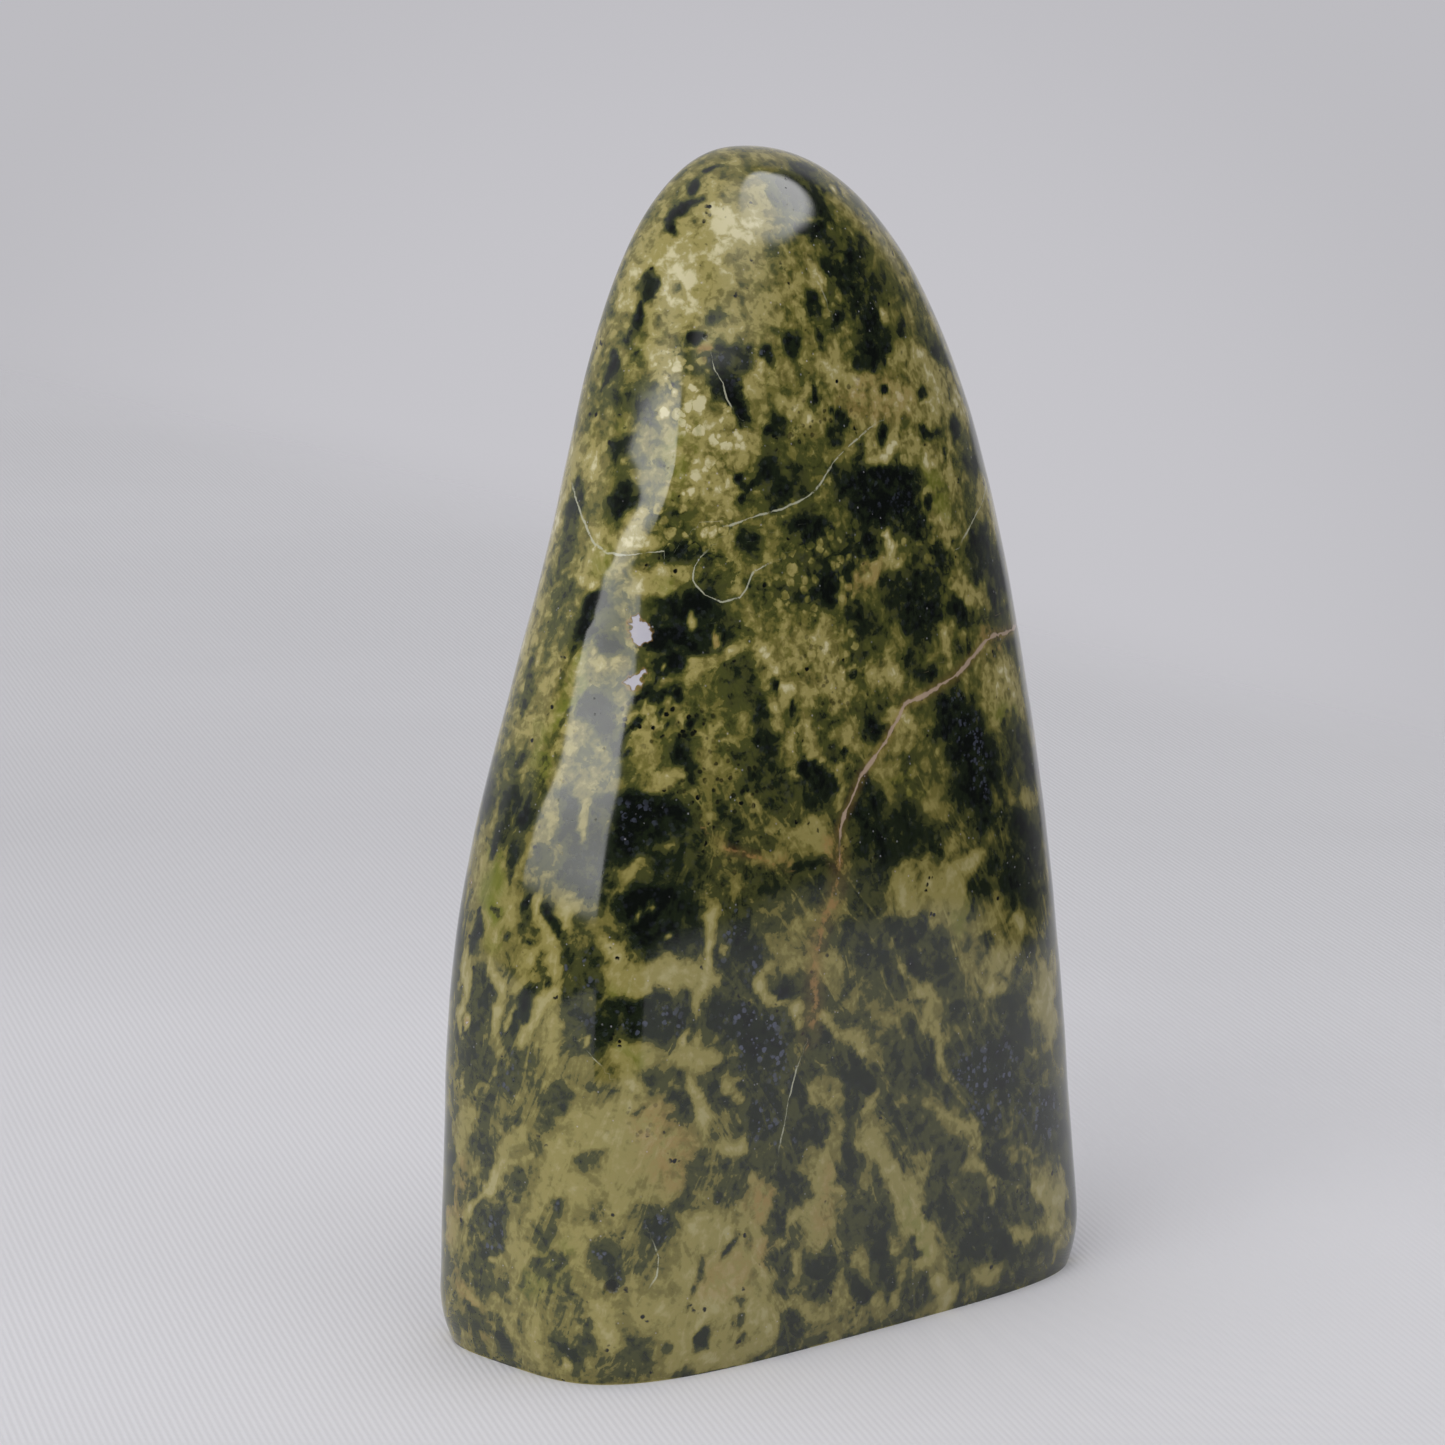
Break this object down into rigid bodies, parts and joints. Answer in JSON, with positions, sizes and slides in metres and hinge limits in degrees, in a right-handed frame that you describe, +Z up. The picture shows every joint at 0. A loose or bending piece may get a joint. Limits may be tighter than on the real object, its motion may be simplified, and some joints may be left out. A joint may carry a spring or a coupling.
{
  "type": "polished serpentine rock",
  "caption": "Tall freeform of marbled green serpentine rock, ground round and polished all over, that stands on its flat sawn foot as an ornament or mineral sample.",
  "frame": {"origin": "middle of the flat foot, in the plane the stone stands on", "axes": "+Z up through the stone; X along the broad faces; -Y out of the broad front face"},
  "size_m": [0.0738, 0.0354, 0.12],
  "materials": {
    "serpentine": "polished, marbled dark green to pale yellow-green"
  },
  "bodies": {
    "root": {"polished_serpentine": "serpentine"}
  },
  "joints": []
}
